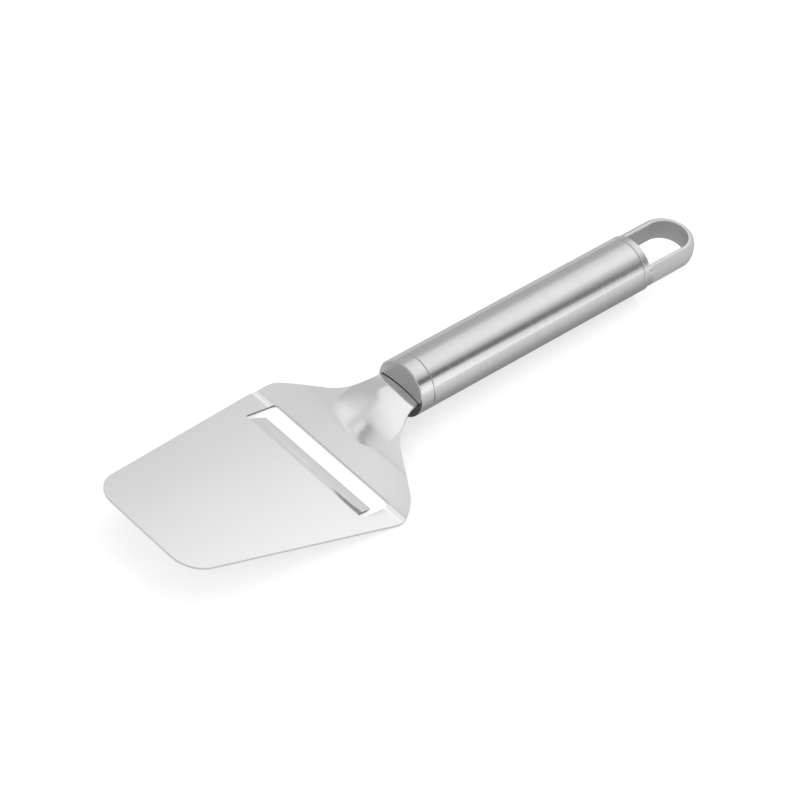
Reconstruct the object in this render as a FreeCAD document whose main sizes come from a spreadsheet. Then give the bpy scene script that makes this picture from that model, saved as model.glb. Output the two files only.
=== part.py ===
"""Cheese slicer: a pressed sheet blade in a round tubular handle with a hang loop.

Everything is drawn in the handle's own frame: X runs along the handle's axis from the blade to the
loop, the front seam is at X = 0, and Z is up in the plane of symmetry. At the end all pieces are
turned together, so that the slicer lies on the heel of its blade and the rear ring of its handle.
"""
import FreeCAD
import Part
import math
import os

import Sketcher
from FreeCAD import Placement, Rotation, Vector

SIZES = {
    # handle tube
    "tube_diameter": 20.0,
    "tube_wall": 0.8,
    "tube_length": 95.9,
    "seam_chamfer": 0.15,
    "seam_gap": 0.1,
    "spigot_clearance": 0.05,
    # front ferrule
    "collar_length": 5.9,
    "collar_edge_radius": 0.5,
    "front_spigot_length": 16.0,
    "socket_depth": 4.4,
    "slot_clearance": 0.3,
    # cross pins
    "pin_diameter": 2.5,
    "pin_spacing": 7.0,
    "pin_reach": 8.0,
    "pin_clearance": 0.02,
    # rear cap with the hang loop
    "ring_length": 2.6,
    "rear_spigot_length": 12.0,
    "loop_length": 27.15,
    "loop_band_height": 8.0,
    "loop_arm_thickness": 3.0,
    "loop_end_thickness": 2.7,
    "loop_edge_radius": 1.9,
    "loop_inner_edge_radius": 0.45,
    # blade, seen from the side
    "sheet_thickness": 0.8,
    "plate_pitch_angle": 10.82,
    "heel_reach": 35.9,
    "heel_bend_radius": 4.1,
    "ramp_run": 8.766,
    "ramp_angle": 38.5,
    "ramp_crest_radius": 30.0,
    "rise_angle": 26.5,
    "neck_crest_radius": 16.7,
    "neck_reach": 5.85,
    "neck_edge_height": 0.15,
    # blade, seen from above
    "tip_reach": 113.75,
    "tip_width": 45.1,
    "plate_flare_angle": 9.53,
    "tip_corner_radius": 10.0,
    "heel_corner_radius": 9.0,
    "shoulder_angle": 60.25,
    "neck_radius": 18.0,
    "neck_arc_reach": 5.0,
    "neck_width": 17.0,
    "tang_width": 12.0,
    "tang_length": 14.0,
    # ridge pressed into the neck
    "nose_gap": 9.05,
    "ridge_height": 1.22,
    "ridge_half_width": 13.5,
    "nose_arch_radius": 60.0,
    "neck_arch_height": 1.13,
    "arch_overhang": 0.6,
    # cutting slot and lip
    "lip_root_gap": 9.7,
    "slot_rear_gap": 2.95,
    "slot_width": 55.0,
    "slot_front_radius": 1.0,
    "slot_rear_radius": 2.0,
    "lip_root_width": 51.7,
    "lip_edge_width": 49.5,
    "lip_length": 7.0,
    "lip_bend_radius": 16.0,
    "lip_angle": 10.5,
    "bevel_length": 2.5,
    "edge_thickness": 0.15,
    # how far drawn stock runs past what is kept of it
    "overrun": 3.0,
    # how close two places are when they count as the same
    "same_place_gap": 0.02,
}

# mean direction in which the sheet is pressed, as a share of the way from the plate's slope to the ramp's
PRESS_SHARE = 0.5
# places of the ridge's sections, as shares of the way from the neck's end to the nose's front
RIDGE_PLACE_SHARES = (1.064, 1.0, 0.95, 0.857, 0.777, 0.579, 0.34, 0.15, 0.0)
# height of the ridge over the shoulder at those places, as shares of its full height
RIDGE_HEIGHT_SHARES = (-0.56, 0.0, 0.44, 0.80, 0.94, 1.0, 1.0, 1.0, 1.0)
# how far the arch has closed from its radius at the nose to its radius at the neck's end
RIDGE_CLOSING_SHARES = (0.0, 0.0, 0.0, 0.0, 0.0, 0.0, 0.55, 0.95, 1.0)

doc = FreeCAD.newDocument("cheese_slicer")
sheet = doc.addObject("Spreadsheet::Sheet", "dims")
for row, (alias, number) in enumerate(SIZES.items(), start=1):
    sheet.set(f"A{row}", alias)
    sheet.set(f"B{row}", str(number))
    sheet.setAlias(f"B{row}", alias)
doc.recompute()


def size(alias):
    """Value of one driving dimension."""
    return float(sheet.get(alias))


def placed(expression):
    """Value of a sheet expression."""
    return float(sheet.evalExpression(expression))


def line(start, end):
    """Straight piece of a sketch between two (x, y) points."""
    return Part.LineSegment(Vector(*start, 0), Vector(*end, 0))


def arc(centre, radius, start_degrees, end_degrees):
    """Round piece of a sketch, counted anticlockwise."""
    circle = Part.Circle(Vector(*centre, 0), Vector(0, 0, 1), radius)
    return Part.ArcOfCircle(circle, math.radians(start_degrees), math.radians(end_degrees))


def polar(centre, radius, degrees):
    """Point at a distance and direction from another."""
    angle = math.radians(degrees)
    return (centre[0] + radius * math.cos(angle), centre[1] + radius * math.sin(angle))


def rule(sketch, kind, *references):
    """Add a geometric constraint without a size."""
    sketch.addConstraint(Sketcher.Constraint(kind, *references))


def measure(sketch, kind, references, expression):
    """Add a constraint whose size follows the sheet."""
    number = float(sketch.evalExpression(expression))
    start = math.radians(number) if kind == "Angle" else number
    index = sketch.addConstraint(Sketcher.Constraint(kind, *references, start))
    sketch.setExpression(f"Constraints[{index}]", expression)


def chain(sketch, *corners):
    """Join the end of each piece to the start of the next; a corner is (piece, end, piece, end, kind)."""
    for first, first_end, second, second_end, kind in corners:
        rule(sketch, kind, first, first_end, second, second_end)


# derived sizes, as sheet expressions
TUBE_RADIUS = "dims.tube_diameter / 2"
SPIGOT_RADIUS = "(dims.tube_diameter / 2 - dims.tube_wall - dims.spigot_clearance)"
PIN_LENGTH = f"2 * sqrt({SPIGOT_RADIUS} ^ 2 - (dims.pin_spacing / 2 + dims.pin_diameter / 2) ^ 2)"
CUT_HEIGHT = "4 * dims.heel_reach"
LIP_ROOT_PLACE = "(-dims.heel_reach - dims.lip_root_gap)"
SLOT_REAR_PLACE = "(-dims.heel_reach + dims.slot_rear_gap)"
LOOP_OPENING_WIDTH = "(dims.tube_diameter - 2 * dims.loop_arm_thickness)"
LOOP_END = "dims.tube_length + dims.ring_length + dims.loop_length"
DOME_PLACE = f"{LOOP_END} - {TUBE_RADIUS}"
NECK_ARCH_SPAN = "(dims.neck_width / 2 + dims.arch_overhang)"
NECK_ARCH_RADIUS = f"({NECK_ARCH_SPAN} ^ 2 + dims.neck_arch_height ^ 2) / (2 * dims.neck_arch_height)"
NEAR = size("same_place_gap")

# orientations of sketches drawn in the side view and across the handle
SIDE = Rotation(Vector(1, 0, 0), 90)
ACROSS = Rotation(Vector(1, 1, 1), 120)

START, END, CENTRE = 1, 2, 3
ORIGIN_POINT = (-1, 1)


def free_sketch(name, place):
    """Sketch that stands by itself in the document."""
    sketch = doc.addObject("Sketcher::SketchObject", name)
    sketch.Placement = place
    return sketch


def extrusion(name, base, direction, length):
    """Solid that a sketch sweeps, the same way to both sides of its plane."""
    solid = doc.addObject("Part::Extrusion", name)
    solid.Base = base
    solid.DirMode = "Custom"
    solid.Dir = direction
    solid.setExpression("LengthFwd", length)
    solid.Symmetric = True
    solid.Solid = True
    return solid


def boolean(kind, name, base, tool):
    """Part::Cut, Part::Fuse or Part::Common of two solids."""
    result = doc.addObject(f"Part::{kind}", name)
    result.Base = base
    result.Tool = tool
    return result


def mirrored(name, half):
    """A half and its mirror image across the plane of symmetry."""
    other = doc.addObject("Part::Mirroring", f"{name}_other_half")
    other.Source = half
    other.Normal = Vector(0, 1, 0)
    return boolean("Fuse", name, half, other)


def arc_top(centre, radius, x):
    """Height of a circle's upper half at a place."""
    return centre[1] + math.sqrt(radius ** 2 - (x - centre[0]) ** 2)


class ShoulderCurve:
    """Upper face of the blade in the side view, from the heel's bend to the neck's end."""

    def __init__(self):
        self.pitch = size("plate_pitch_angle")
        self.ramp = size("ramp_angle")
        self.rise = size("rise_angle")
        bend_r, crest_r = size("heel_bend_radius"), size("ramp_crest_radius")
        neck_r = size("neck_crest_radius")
        ramp_slope = math.tan(math.radians(self.ramp))
        rise_slope = math.tan(math.radians(self.rise))
        self.neck_end = (-size("neck_reach"), size("neck_edge_height"))
        self.neck_centre = (self.neck_end[0], self.neck_end[1] - neck_r)
        self.rise_top = polar(self.neck_centre, neck_r, 90 + self.rise)
        corner_x = size("ramp_run") - size("heel_reach")
        self.corner = (corner_x, self.rise_top[1] + (corner_x - self.rise_top[0]) * rise_slope)
        bend_x = bend_r * math.sin(math.radians(self.pitch)) - size("heel_reach")
        bend_lift = bend_r / math.cos(math.radians(self.ramp))
        self.bend_centre = (bend_x, self.corner[1] + (bend_x - corner_x) * ramp_slope + bend_lift)
        self.heel = polar(self.bend_centre, bend_r, -90 - self.pitch)
        self.ramp_foot = polar(self.bend_centre, bend_r, self.ramp - 90)
        setback = crest_r * math.tan(math.radians(self.ramp - self.rise) / 2)
        self.ramp_top = polar(self.corner, -setback, self.ramp)
        self.rise_foot = polar(self.corner, setback, self.rise)
        self.crest_centre = polar(self.ramp_top, crest_r, self.ramp - 90)

    def height(self, x):
        """Height of the upper face at a place between the ramp's foot and the neck's end."""
        if x < self.ramp_top[0]:
            return self.ramp_top[1] + (x - self.ramp_top[0]) * math.tan(math.radians(self.ramp))
        if x < self.rise_foot[0]:
            return arc_top(self.crest_centre, size("ramp_crest_radius"), x)
        if x < self.rise_top[0]:
            return self.rise_foot[1] + (x - self.rise_foot[0]) * math.tan(math.radians(self.rise))
        return arc_top(self.neck_centre, size("neck_crest_radius"), x)


curve = ShoulderCurve()


def shoulder_stock():
    """Stock whose upper face is the flat plate, the heel's bend and the shoulder."""
    sketch = free_sketch("shoulder_profile", Placement(Vector(), SIDE))
    front = -size("tip_reach") - size("overrun")
    front_height = curve.heel[1] - (front - curve.heel[0]) * math.tan(math.radians(curve.pitch))
    floor = -size("heel_reach")
    sketch.addGeometry([
        line((front, front_height), curve.heel),
        arc(curve.bend_centre, size("heel_bend_radius"), -90 - curve.pitch, curve.ramp - 90),
        line(curve.ramp_foot, curve.ramp_top),
        arc(curve.crest_centre, size("ramp_crest_radius"), 90 + curve.rise, 90 + curve.ramp),
        line(curve.rise_foot, curve.rise_top),
        arc(curve.neck_centre, size("neck_crest_radius"), 90, 90 + curve.rise),
        line(curve.neck_end, (curve.neck_end[0], floor)),
        line((curve.neck_end[0], floor), (front, floor)),
        line((front, floor), (front, front_height)),
        Part.Point(Vector(*curve.corner, 0)),
    ])
    plate, bend, ramp, crest, rise, neck, end_wall, base, front_wall, corner = range(10)
    sketch.setConstruction(corner, True)
    chain(
        sketch,
        (plate, END, bend, START, "Tangent"), (bend, END, ramp, START, "Tangent"),
        (ramp, END, crest, END, "Tangent"), (crest, START, rise, START, "Tangent"),
        (rise, END, neck, END, "Tangent"), (neck, START, end_wall, START, "Coincident"),
        (end_wall, END, base, START, "Coincident"), (base, END, front_wall, START, "Coincident"),
        (front_wall, END, plate, START, "Coincident"),
    )
    rule(sketch, "Vertical", end_wall)
    rule(sketch, "Horizontal", base)
    rule(sketch, "Vertical", front_wall)
    rule(sketch, "Vertical", neck, START, neck, CENTRE)
    rule(sketch, "PointOnObject", corner, START, ramp)
    rule(sketch, "PointOnObject", corner, START, rise)
    measure(sketch, "Angle", (plate,), "-dims.plate_pitch_angle")
    measure(sketch, "Angle", (ramp,), "dims.ramp_angle")
    measure(sketch, "Angle", (rise,), "dims.rise_angle")
    measure(sketch, "Radius", (bend,), "dims.heel_bend_radius")
    measure(sketch, "Radius", (crest,), "dims.ramp_crest_radius")
    measure(sketch, "Radius", (neck,), "dims.neck_crest_radius")
    measure(sketch, "DistanceX", (plate, END), "-dims.heel_reach")
    measure(sketch, "DistanceX", (corner, START), "dims.ramp_run - dims.heel_reach")
    measure(sketch, "DistanceX", (neck, START), "-dims.neck_reach")
    measure(sketch, "DistanceY", (neck, START), "dims.neck_edge_height")
    measure(sketch, "DistanceX", (plate, START), "-dims.tip_reach - dims.overrun")
    measure(sketch, "DistanceY", (base, START), "-dims.heel_reach")
    return extrusion("shoulder_stock", sketch, Vector(0, 1, 0), "2 * dims.tip_width")


def arch_section(name, x, crown, closing):
    """Cross section of the ridge: an arched top over straight sides that run down past the sheet."""
    sketch = free_sketch(name, Placement(Vector(x, 0, 0), ACROSS))
    radius_rule = f"{1 - closing} * dims.nose_arch_radius + {closing} * {NECK_ARCH_RADIUS}"
    radius = float(sketch.evalExpression(radius_rule))
    half_width = size("ridge_half_width")
    half_turn = math.degrees(math.asin(half_width / radius))
    eaves = crown - radius + radius * math.cos(math.radians(half_turn))
    floor = -size("heel_reach")
    sketch.addGeometry([
        arc((0, crown - radius), radius, 90 - half_turn, 90 + half_turn),
        line((-half_width, eaves), (-half_width, floor)),
        line((-half_width, floor), (half_width, floor)),
        line((half_width, floor), (half_width, eaves)),
    ])
    top, left, base, right = range(4)
    chain(
        sketch,
        (top, END, left, START, "Coincident"), (left, END, base, START, "Coincident"),
        (base, END, right, START, "Coincident"), (right, END, top, START, "Coincident"),
    )
    rule(sketch, "Vertical", left)
    rule(sketch, "Horizontal", base)
    rule(sketch, "Vertical", right)
    rule(sketch, "PointOnObject", top, CENTRE, -2)
    rule(sketch, "DistanceY", top, CENTRE, crown - radius)
    measure(sketch, "Radius", (top,), radius_rule)
    measure(sketch, "DistanceX", (base, END), "dims.ridge_half_width")
    measure(sketch, "DistanceX", (base, START), "-dims.ridge_half_width")
    measure(sketch, "DistanceY", (base, START), "-dims.heel_reach")
    return sketch


def ridge_stock():
    """Stock whose upper face is the ridge, from its round nose on the shoulder to the neck's end."""
    sections = []
    reach = size("heel_reach") - size("nose_gap") - size("neck_reach")
    table = zip(RIDGE_PLACE_SHARES, RIDGE_HEIGHT_SHARES, RIDGE_CLOSING_SHARES)
    for number, (place, height, closing) in enumerate(table, start=1):
        x = -size("neck_reach") - place * reach
        lift = (1 - closing) * size("ridge_height") * height + closing * size("neck_arch_height")
        sections.append(arch_section(f"ridge_section_{number}", x, curve.height(x) + lift, closing))
    loft = doc.addObject("Part::Loft", "ridge_stock")
    loft.Sections = sections
    loft.Solid = True
    return loft


def tang_stock():
    """Stock of the arched tang that runs on into the handle."""
    crown = size("neck_edge_height") + size("neck_arch_height")
    section = arch_section("tang_section", -size("neck_reach"), crown, 1.0)
    length = "dims.neck_reach + dims.tang_length + dims.overrun"
    stock = extrusion("tang_stock", section, Vector(1, 0, 0), length)
    stock.Symmetric = False
    return stock


def half_outline():
    """Half of the blade's outline from above, between the plane of symmetry and one edge."""
    sketch = free_sketch("blade_outline", Placement())
    tip, end = -size("tip_reach"), size("tang_length")
    step = size("socket_depth") - size("collar_length")
    flare, fall = size("plate_flare_angle"), size("shoulder_angle")
    neck_y, tang_y = size("neck_width") / 2, size("tang_width") / 2
    tip_r, heel_r, neck_r = size("tip_corner_radius"), size("heel_corner_radius"), size("neck_radius")
    side_slope = math.tan(math.radians(flare))
    tip_corner = (tip, size("tip_width") / 2)
    neck_centre = (-size("neck_arc_reach"), neck_y + neck_r)
    neck_start = polar(neck_centre, neck_r, 270 - fall)
    shoulder_slope = -math.tan(math.radians(fall))
    level_gap = neck_start[1] - tip_corner[1] + tip_corner[0] * side_slope - neck_start[0] * shoulder_slope
    corner_x = level_gap / (side_slope - shoulder_slope)
    heel_corner = (corner_x, tip_corner[1] + (corner_x - tip) * side_slope)
    heel_setback = heel_r * math.tan(math.radians(flare + fall) / 2)
    side_end = polar(heel_corner, -heel_setback, flare)
    shoulder_start = polar(heel_corner, heel_setback, -fall)
    heel_centre = polar(side_end, heel_r, flare - 90)
    tip_setback = tip_r * math.tan(math.radians(90 - flare) / 2)
    side_start = polar(tip_corner, tip_setback, flare)
    tip_centre = polar(side_start, tip_r, flare - 90)
    sketch.addGeometry([
        line((tip, 0), (tip, tip_centre[1])),
        arc(tip_centre, tip_r, 90 + flare, 180),
        line(side_start, side_end),
        arc(heel_centre, heel_r, 90 - fall, 90 + flare),
        line(shoulder_start, neck_start),
        arc(neck_centre, neck_r, 270 - fall, 270),
        line((neck_centre[0], neck_y), (step, neck_y)),
        line((step, neck_y), (step, tang_y)),
        line((step, tang_y), (end, tang_y)),
        line((end, tang_y), (end, 0)),
        line((end, 0), (tip, 0)),
        Part.Point(Vector(*tip_corner, 0)),
    ])
    tip_edge, tip_arc, side, heel, shoulder, neck, collar, stop, tang, tail, axis, sharp_corner = range(12)
    sketch.setConstruction(sharp_corner, True)
    chain(
        sketch,
        (tip_edge, END, tip_arc, END, "Tangent"), (tip_arc, START, side, START, "Tangent"),
        (side, END, heel, END, "Tangent"), (heel, START, shoulder, START, "Tangent"),
        (shoulder, END, neck, START, "Tangent"), (neck, END, collar, START, "Tangent"),
        (collar, END, stop, START, "Coincident"), (stop, END, tang, START, "Coincident"),
        (tang, END, tail, START, "Coincident"), (tail, END, axis, START, "Coincident"),
        (axis, END, tip_edge, START, "Coincident"),
    )
    rule(sketch, "Vertical", tip_edge)
    rule(sketch, "Horizontal", collar)
    rule(sketch, "Vertical", stop)
    rule(sketch, "Horizontal", tang)
    rule(sketch, "Vertical", tail)
    rule(sketch, "PointOnObject", axis, START, -1)
    rule(sketch, "PointOnObject", axis, END, -1)
    rule(sketch, "PointOnObject", sharp_corner, START, tip_edge)
    rule(sketch, "PointOnObject", sharp_corner, START, side)
    measure(sketch, "DistanceY", (sharp_corner, START), "dims.tip_width / 2")
    measure(sketch, "DistanceX", (sharp_corner, START), "-dims.tip_reach")
    measure(sketch, "Angle", (side,), "dims.plate_flare_angle")
    measure(sketch, "Angle", (shoulder,), "-dims.shoulder_angle")
    measure(sketch, "Radius", (tip_arc,), "dims.tip_corner_radius")
    measure(sketch, "Radius", (heel,), "dims.heel_corner_radius")
    measure(sketch, "Radius", (neck,), "dims.neck_radius")
    measure(sketch, "DistanceX", (neck, CENTRE), "-dims.neck_arc_reach")
    measure(sketch, "DistanceY", (collar, END), "dims.neck_width / 2")
    measure(sketch, "DistanceX", (collar, END), "dims.socket_depth - dims.collar_length")
    measure(sketch, "DistanceY", (tang, END), "dims.tang_width / 2")
    measure(sketch, "DistanceX", (tang, END), "dims.tang_length")
    return extrusion("outline_half", sketch, Vector(0, 0, 1), CUT_HEIGHT)


def half_slot():
    """Half of the window in the plate that holds the slot, the lip and the relief cuts beside it."""
    sketch = free_sketch("slot_outline", Placement())
    front, rear = placed(LIP_ROOT_PLACE), placed(SLOT_REAR_PLACE)
    side = size("slot_width") / 2
    front_r, rear_r = size("slot_front_radius"), size("slot_rear_radius")
    sketch.addGeometry([
        line((front, 0), (front, side - front_r)),
        arc((front + front_r, side - front_r), front_r, 90, 180),
        line((front + front_r, side), (rear - rear_r, side)),
        arc((rear - rear_r, side - rear_r), rear_r, 0, 90),
        line((rear, side - rear_r), (rear, 0)),
        line((rear, 0), (front, 0)),
    ])
    front_edge, front_arc, end_edge, rear_arc, rear_edge, axis = range(6)
    chain(
        sketch,
        (front_edge, END, front_arc, END, "Tangent"), (front_arc, START, end_edge, START, "Tangent"),
        (end_edge, END, rear_arc, END, "Tangent"), (rear_arc, START, rear_edge, START, "Tangent"),
        (rear_edge, END, axis, START, "Coincident"), (axis, END, front_edge, START, "Coincident"),
    )
    rule(sketch, "Vertical", front_edge)
    rule(sketch, "Horizontal", end_edge)
    rule(sketch, "Vertical", rear_edge)
    rule(sketch, "PointOnObject", axis, START, -1)
    rule(sketch, "PointOnObject", axis, END, -1)
    measure(sketch, "DistanceX", (axis, END), LIP_ROOT_PLACE)
    measure(sketch, "DistanceX", (axis, START), SLOT_REAR_PLACE)
    measure(sketch, "DistanceY", (end_edge, START), "dims.slot_width / 2")
    measure(sketch, "Radius", (front_arc,), "dims.slot_front_radius")
    measure(sketch, "Radius", (rear_arc,), "dims.slot_rear_radius")
    return extrusion("slot_half", sketch, Vector(0, 0, 1), CUT_HEIGHT)


def press_direction():
    """How far the sheet's lower face lies from its upper face, along X and Z."""
    pitch = size("plate_pitch_angle")
    slope = PRESS_SHARE * (size("ramp_angle") + pitch) - pitch
    travel = size("sheet_thickness") / math.cos(math.radians(slope + pitch))
    slope = math.radians(slope)
    return (travel * math.sin(slope), -travel * math.cos(slope))


def pressed_sheet():
    """Sheet between the formed upper face and the same face moved down along the press direction."""
    form = doc.addObject("Part::MultiFuse", "formed_stock")
    form.Shapes = [shoulder_stock(), ridge_stock(), tang_stock()]
    below = doc.addObject("Part::Compound", "formed_stock_below")
    below.Links = [form]
    shift_x, shift_z = press_direction()
    below.Placement = Placement(Vector(shift_x, 0, shift_z), Rotation())
    return boolean("Cut", "pressed_sheet", form, below)


def lip():
    """Cutting lip: bent down from its root at the slot's front and sharpened from below."""
    pitch, angle = size("plate_pitch_angle"), size("lip_angle")
    root_x = placed(LIP_ROOT_PLACE)
    root_z = curve.heel[1] - (root_x - curve.heel[0]) * math.tan(math.radians(pitch))
    turn = Rotation(Vector(0, 1, 0), pitch).multiply(SIDE)
    sketch = free_sketch("lip_profile", Placement(Vector(root_x, 0, root_z), turn))
    top_r = size("lip_bend_radius")
    thick = size("sheet_thickness")
    overlap = size("sheet_thickness")
    bend_centre = (0, -top_r)
    top_bend = polar(bend_centre, top_r, 90 - angle)
    low_bend = polar(bend_centre, top_r - thick, 90 - angle)
    straight = (size("lip_length") - top_bend[0]) / math.cos(math.radians(angle))
    edge = polar(top_bend, straight, -angle)
    edge_low = polar(edge, size("edge_thickness"), -90 - angle)
    bevel_start = polar(low_bend, straight - size("bevel_length"), -angle)
    sketch.addGeometry([
        line((-overlap, 0), (0, 0)),
        arc(bend_centre, top_r, 90 - angle, 90),
        line(top_bend, edge),
        line(edge, edge_low),
        line(edge_low, bevel_start),
        line(bevel_start, low_bend),
        arc(bend_centre, top_r - thick, 90 - angle, 90),
        line((0, -thick), (-overlap, -thick)),
        line((-overlap, -thick), (-overlap, 0)),
    ])
    top, top_arc, slope, nose, bevel, low_slope, low_arc, low, root = range(9)
    chain(
        sketch,
        (top, END, top_arc, END, "Tangent"), (top_arc, START, slope, START, "Tangent"),
        (slope, END, nose, START, "Coincident"), (nose, END, bevel, START, "Coincident"),
        (bevel, END, low_slope, START, "Coincident"), (low_slope, END, low_arc, START, "Tangent"),
        (low_arc, END, low, START, "Tangent"), (low, END, root, START, "Coincident"),
        (root, END, top, START, "Coincident"), (top_arc, CENTRE, low_arc, CENTRE, "Coincident"),
    )
    rule(sketch, "Horizontal", top)
    rule(sketch, "Vertical", root)
    rule(sketch, "Perpendicular", slope, nose)
    rule(sketch, "Coincident", top, END, *ORIGIN_POINT)
    measure(sketch, "Angle", (slope,), "-dims.lip_angle")
    measure(sketch, "Radius", (top_arc,), "dims.lip_bend_radius")
    measure(sketch, "Radius", (low_arc,), "dims.lip_bend_radius - dims.sheet_thickness")
    measure(sketch, "DistanceX", (top, START), "-dims.sheet_thickness")
    measure(sketch, "DistanceX", (slope, END), "dims.lip_length")
    measure(sketch, "Distance", (nose,), "dims.edge_thickness")
    bevel_run = "dims.bevel_length * cos(dims.lip_angle) + dims.sheet_thickness * sin(dims.lip_angle)"
    measure(sketch, "DistanceX", (bevel, END, slope, END), bevel_run)
    return extrusion("lip_stock", sketch, Vector(0, 1, 0), "dims.slot_width")


def lip_outline():
    """Outline of the lip from above: it narrows from its root to its edge, between the relief cuts."""
    sketch = free_sketch("lip_outline", Placement())
    root = placed(LIP_ROOT_PLACE) - size("sheet_thickness")
    edge = placed(LIP_ROOT_PLACE) + size("lip_length")
    root_y, edge_y = size("lip_root_width") / 2, size("lip_edge_width") / 2
    corners = [(root, -root_y), (edge, -edge_y), (edge, edge_y), (root, root_y)]
    for start, end in zip(corners, corners[1:] + corners[:1]):
        sketch.addGeometry(line(start, end))
    near, edge_line, far, root_line = range(4)
    chain(
        sketch,
        (near, END, edge_line, START, "Coincident"), (edge_line, END, far, START, "Coincident"),
        (far, END, root_line, START, "Coincident"), (root_line, END, near, START, "Coincident"),
    )
    rule(sketch, "Symmetric", edge_line, START, edge_line, END, -1)
    rule(sketch, "Symmetric", root_line, START, root_line, END, -1)
    measure(sketch, "DistanceX", (near, START), f"{LIP_ROOT_PLACE} - dims.sheet_thickness")
    measure(sketch, "DistanceX", (near, END), f"{LIP_ROOT_PLACE} + dims.lip_length")
    measure(sketch, "DistanceY", (far, END), "dims.lip_root_width / 2")
    measure(sketch, "DistanceY", (far, START), "dims.lip_edge_width / 2")
    return extrusion("lip_outline_stock", sketch, Vector(0, 0, 1), CUT_HEIGHT)


def pin_bars(name, radius):
    """Two upright round bars at the places of the cross pins."""
    bars = []
    for side, sign in (("left", ""), ("right", "-")):
        bar = doc.addObject("Part::Cylinder", f"{name}_{side}")
        bar.setExpression("Radius", radius)
        bar.setExpression("Height", PIN_LENGTH)
        bar.setExpression("Placement.Base.x", "dims.pin_reach")
        bar.setExpression("Placement.Base.y", f"{sign}dims.pin_spacing / 2")
        bar.setExpression("Placement.Base.z", f"-({PIN_LENGTH}) / 2")
        bars.append(bar)
    return bars


def slicing_blade():
    """One pressed sheet: plate, slot, lip, heel, shoulder, ridged neck and tang."""
    outline = mirrored("outline_stock", half_outline())
    slot = mirrored("slot_stock", half_slot())
    trimmed = boolean("Common", "trimmed_sheet", pressed_sheet(), outline)
    slotted = boolean("Cut", "slotted_sheet", trimmed, slot)
    cut_lip = boolean("Common", "cut_lip", lip(), lip_outline())
    lipped = boolean("Fuse", "lipped_sheet", slotted, cut_lip)
    holes = doc.addObject("Part::Compound", "tang_holes")
    holes.Links = pin_bars("tang_hole", "dims.pin_diameter / 2 + dims.pin_clearance")
    blade = boolean("Cut", "slicing_blade", lipped, holes)
    blade.Refine = True
    return blade


def tang_pins():
    """Two cross pins that hold the tang in the ferrule's spigot."""
    pins = doc.addObject("Part::Compound", "tang_pins")
    pins.Links = pin_bars("tang_pin", "dims.pin_diameter / 2")
    return pins


def plane_of(body, role):
    """Origin plane of a body."""
    return next(plane for plane in body.Origin.OriginFeatures if plane.Role == role)


def body_sketch(body, name, role, offset="0"):
    """Sketch on one of a body's origin planes, moved along its normal."""
    sketch = body.newObject("Sketcher::SketchObject", name)
    sketch.AttachmentSupport = [(plane_of(body, role), "")]
    sketch.MapMode = "FlatFace"
    sketch.setExpression("AttachmentOffset.Base.z", offset)
    return sketch


def feature(body, kind, name, **settings):
    """PartDesign feature with plain settings."""
    made = body.newObject(f"PartDesign::{kind}", name)
    for key, value in settings.items():
        setattr(made, key, value)
    return made


def rounded(body, kind, name, amount, chosen):
    """Fillet or chamfer on the edges of the body so far that a test picks out."""
    doc.recompute()
    base = body.Tip
    names = [f"Edge{number}" for number, edge in enumerate(base.Shape.Edges, start=1) if chosen(edge)]
    made = feature(body, kind, name, Base=(base, names))
    made.setExpression("Radius" if kind == "Fillet" else "Size", amount)
    return made


def is_rim(edge, x, radius):
    """Whether an edge is a full circle round the handle's axis."""
    if edge.Degenerated or not edge.isClosed() or not isinstance(edge.Curve, Part.Circle):
        return False
    same_place = math.isclose(edge.Curve.Center.x, x, abs_tol=NEAR)
    return same_place and math.isclose(edge.Curve.Radius, radius, abs_tol=NEAR)


def turned(body, name, rules):
    """Solid of revolution round the handle's axis; its profile's corners are pairs of expressions."""
    sketch = body_sketch(body, f"{name}_profile", "XZ_Plane")
    points = [(placed(x_rule), placed(z_rule)) for x_rule, z_rule in rules]
    for start, end in zip(points, points[1:] + points[:1]):
        sketch.addGeometry(line(start, end))
    count = len(points)
    for number in range(count):
        rule(sketch, "Coincident", number, END, (number + 1) % count, START)
    for number, (x_rule, z_rule) in enumerate(rules):
        measure(sketch, "DistanceX", (number, START), x_rule)
        measure(sketch, "DistanceY", (number, START), z_rule)
    return feature(body, "Revolution", name, Profile=sketch, ReferenceAxis=(sketch, ["H_Axis"]))


def arch_slot(body, name, half_width):
    """Arched slot profile on the ferrule's front face that clears the neck all round."""
    sketch = body_sketch(body, name, "YZ_Plane", "-dims.collar_length")
    radius = placed(NECK_ARCH_RADIUS)
    gap = size("slot_clearance")
    neck_crown = size("neck_edge_height") + size("neck_arch_height")
    crown = neck_crown + gap
    sole = neck_crown + press_direction()[1] - gap
    side = half_width + gap
    half_turn = math.degrees(math.asin(side / radius))
    top_centre, low_centre = (0, crown - radius), (0, sole - radius)
    sketch.addGeometry([
        arc(top_centre, radius, 90 - half_turn, 90 + half_turn),
        line(polar(top_centre, radius, 90 + half_turn), polar(low_centre, radius, 90 + half_turn)),
        arc(low_centre, radius, 90 - half_turn, 90 + half_turn),
        line(polar(low_centre, radius, 90 - half_turn), polar(top_centre, radius, 90 - half_turn)),
    ])
    top, left, low, right = range(4)
    chain(
        sketch,
        (top, END, left, START, "Coincident"), (left, END, low, END, "Coincident"),
        (low, START, right, START, "Coincident"), (right, END, top, START, "Coincident"),
    )
    rule(sketch, "Vertical", left)
    rule(sketch, "Vertical", right)
    rule(sketch, "Equal", top, low)
    rule(sketch, "PointOnObject", top, CENTRE, -2)
    rule(sketch, "PointOnObject", low, CENTRE, -2)
    rule(sketch, "DistanceY", top, CENTRE, crown - radius)
    rule(sketch, "DistanceY", low, CENTRE, sole - radius)
    rule(sketch, "DistanceX", right, START, side)
    measure(sketch, "Radius", (top,), NECK_ARCH_RADIUS)
    return sketch


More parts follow.
